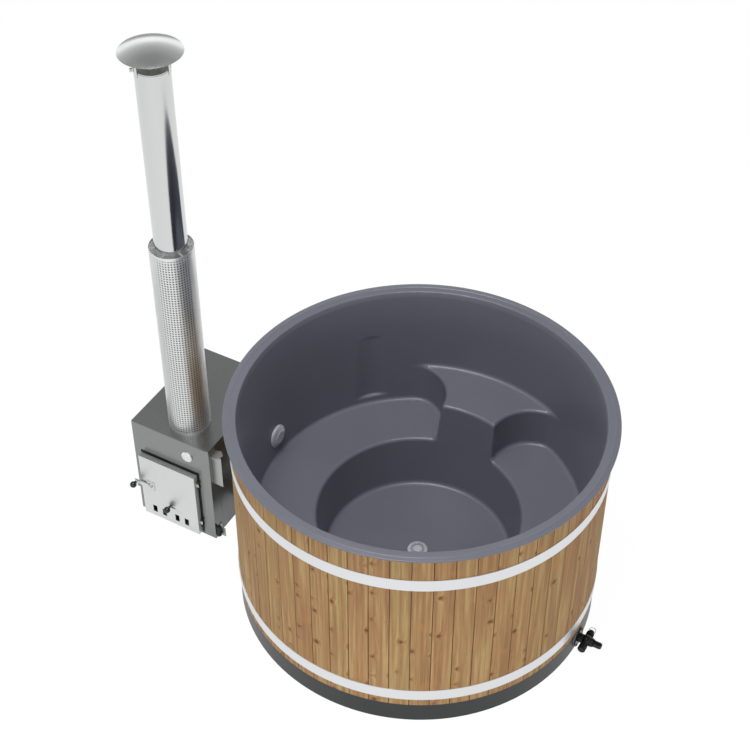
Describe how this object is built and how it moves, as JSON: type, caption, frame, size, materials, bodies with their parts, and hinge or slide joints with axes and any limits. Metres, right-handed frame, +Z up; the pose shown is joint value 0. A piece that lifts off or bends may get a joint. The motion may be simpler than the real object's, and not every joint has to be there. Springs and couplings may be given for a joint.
{
  "type": "wood-fired hot tub",
  "caption": "Round staved hot tub with a moulded liner, steel bands and a drain valve, joined to an outside wood-fired heater with a hinged fire door and a capped chimney.",
  "frame": {"origin": "on the tub's axis at ground level, on the underside of the base board", "axes": "+Z up along the tub's axis; the heater stands at -X with its fire door facing -Y; the drain valve is at +X; the raised seat is at +Y"},
  "size_m": [2.1621, 1.584, 2.418],
  "materials": {
    "liner_plastic": "satin moulded polyethylene, grey-blue",
    "pine": "heat-treated pine staves, oiled",
    "band_steel": "pale stainless band",
    "steel": "stainless steel",
    "bright_steel": "bright stainless sheet",
    "plinth_plastic": "dark grey plastic",
    "board": "plywood base board",
    "rail_wood": "sawn softwood",
    "grille_plastic": "light grey plastic",
    "fitting_plastic": "dark grey plastic",
    "pipe_plastic": "grey plastic pipe",
    "sleeve_rubber": "black rubber hose",
    "gasket_rubber": "grey rubber gasket",
    "black_plastic": "black plastic",
    "casing_paint": "grey painted sheet steel",
    "jacket_steel": "dark heat-proof coating on steel plate",
    "grate_iron": "raw cast iron",
    "pan_steel": "dark sheet steel",
    "seal_rope": "glass-fibre rope seal",
    "bracket_paint": "grey painted steel",
    "plug_alloy": "cast aluminium plug",
    "bumper_rubber": "black rubber"
  },
  "bodies": {
    "tub": {"liner": "liner_plastic", "staves": "pine", "inlet_staves": "pine", "upper_band": "band_steel", "lower_band": "band_steel", "band_lugs": "band_steel", "band_bolts": "steel", "plinth": "plinth_plastic", "base_board": "board", "floor_joists": "rail_wood", "bench_posts": "rail_wood", "floor_ring": "grille_plastic", "floor_grille": "grille_plastic", "floor_outlet": "fitting_plastic", "drain_pipe": "pipe_plastic", "cold_pipe": "pipe_plastic", "wall_fitting": "fitting_plastic", "wall_grille": "grille_plastic", "wall_nut": "fitting_plastic", "cold_sleeve": "sleeve_rubber", "hot_sleeve": "sleeve_rubber", "hose_clamps": "steel", "valve_gasket": "gasket_rubber", "valve_body": "black_plastic", "valve_cap": "black_plastic", "hose_tail": "black_plastic", "casing_front": "casing_paint", "casing_cover": "casing_paint", "stove_body": "jacket_steel", "fire_grate": "grate_iron", "ash_pan": "pan_steel", "door_frame": "jacket_steel", "door_seal": "seal_rope", "hinge_pins": "steel", "latch_keeper": "steel", "front_plug": "plug_alloy", "upper_bracket": "bracket_paint", "lower_bracket": "bracket_paint", "side_bumper": "bumper_rubber", "flue_lower": "steel", "flue_upper": "bright_steel", "heat_shield": "bright_steel", "shield_spacers": "steel", "cap_clamp": "bright_steel", "cap_screw": "steel", "cap_legs": "bright_steel", "rain_cap": "bright_steel"},
    "door": {"door_shell": "bright_steel", "door_back": "steel", "slide_rails": "steel", "latch_plate": "steel"},
    "draught": {"draught_slide": "pan_steel", "slide_knob_ball": "black_plastic"},
    "latch": {"latch_bar": "bright_steel", "latch_ball": "black_plastic"},
    "valve": {"valve_plug": "steel", "valve_knob": "black_plastic"},
    "bail": {"valve_bail": "steel"}
  },
  "joints": [
    {"name": "door_swing", "type": "hinge", "parent": "tub", "child": "door", "pos_m": [-0.947, -0.27, 0.1985], "axis": [0, 0, 1], "range_deg": [0, 110]},
    {"name": "draught_slide_move", "type": "slide", "parent": "door", "child": "draught", "axis": [1, 0, 0], "range_m": [0, 0.025]},
    {"name": "latch_turn", "type": "hinge", "parent": "door", "child": "latch", "pos_m": [-1.196, -0.298, 0.21], "axis": [0, 1, 0], "range_deg": [-7, 40]},
    {"name": "valve_turn", "type": "hinge", "parent": "tub", "child": "valve", "pos_m": [0.81098, -0.00566, 0.048], "axis": [0.007, 1, 0], "range_deg": [0, 90]},
    {"name": "bail_swing", "type": "hinge", "parent": "tub", "child": "bail", "pos_m": [0.81132, 0.04234, 0.048], "axis": [1, -0.007, 0], "range_deg": [-90, 90]}
  ]
}
